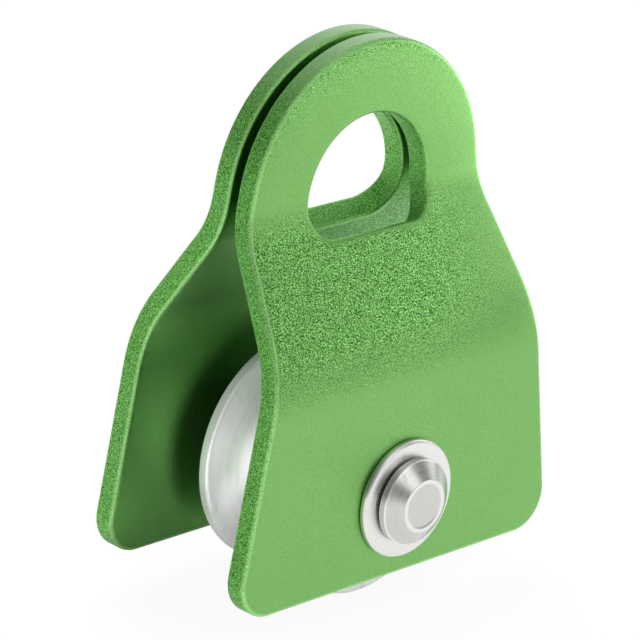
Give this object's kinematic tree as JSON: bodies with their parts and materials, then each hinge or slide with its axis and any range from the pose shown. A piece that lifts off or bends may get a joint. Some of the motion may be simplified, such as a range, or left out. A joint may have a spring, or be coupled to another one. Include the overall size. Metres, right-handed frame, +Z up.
{
  "type": "climbing pulley",
  "caption": "Small rope pulley: grooved sheave on a riveted axle between joggled plates that swing, with a D-shaped carabiner eye.",
  "frame": {"origin": "centre of the carabiner eye, midway between the two cheeks", "axes": "+Z up from the axle through the eye, Y along the axle with the front cheek on the -Y side, X across the cheeks"},
  "size_m": [0.0678, 0.0444, 0.0909],
  "materials": {
    "green_anodised": "bead blasted and anodised green, tumbled edges",
    "polished_alloy": "turned and polished",
    "turned_steel": "turned, lightly brushed",
    "washer_steel": "stamped and tumbled, soft sheen",
    "bearing_steel": "ground",
    "ball_steel": "polished",
    "cage_brass": "plain"
  },
  "bodies": {
    "root": {"rear_cheek": "green_anodised", "axle_pin": "turned_steel", "rear_washer": "washer_steel", "front_washer": "washer_steel", "rear_thrust_spacer": "turned_steel", "front_thrust_spacer": "turned_steel", "bearing_sleeve": "turned_steel", "rear_inner_race": "bearing_steel", "front_inner_race": "bearing_steel"},
    "front_cheek": {"front_cheek": "green_anodised"},
    "sheave": {"sheave": "polished_alloy", "rear_outer_race": "bearing_steel", "front_outer_race": "bearing_steel", "rear_outer_shield": "bearing_steel", "rear_inner_shield": "bearing_steel", "front_outer_shield": "bearing_steel", "front_inner_shield": "bearing_steel"},
    "rear_ball_cage": {"rear_cage": "cage_brass", "rear_balls": "ball_steel"},
    "front_ball_cage": {"front_cage": "cage_brass", "front_balls": "ball_steel"}
  },
  "joints": [
    {"name": "front_cheek_swing", "type": "hinge", "parent": "root", "child": "front_cheek", "pos_m": [0, 0, -0.047], "axis": [0, 1, 0], "continuous": true},
    {"name": "sheave_spin", "type": "hinge", "parent": "root", "child": "sheave", "pos_m": [0, 0, -0.047], "axis": [0, 1, 0], "continuous": true},
    {"name": "rear_cage_spin", "type": "hinge", "parent": "root", "child": "rear_ball_cage", "pos_m": [0, 0, -0.047], "axis": [0, 1, 0], "continuous": true},
    {"name": "front_cage_spin", "type": "hinge", "parent": "root", "child": "front_ball_cage", "pos_m": [0, 0, -0.047], "axis": [0, 1, 0], "continuous": true}
  ],
  "couplings": [
    {"joint": "rear_cage_spin", "follows": "sheave_spin", "ratio": 0.5821},
    {"joint": "front_cage_spin", "follows": "sheave_spin", "ratio": 0.5821}
  ]
}
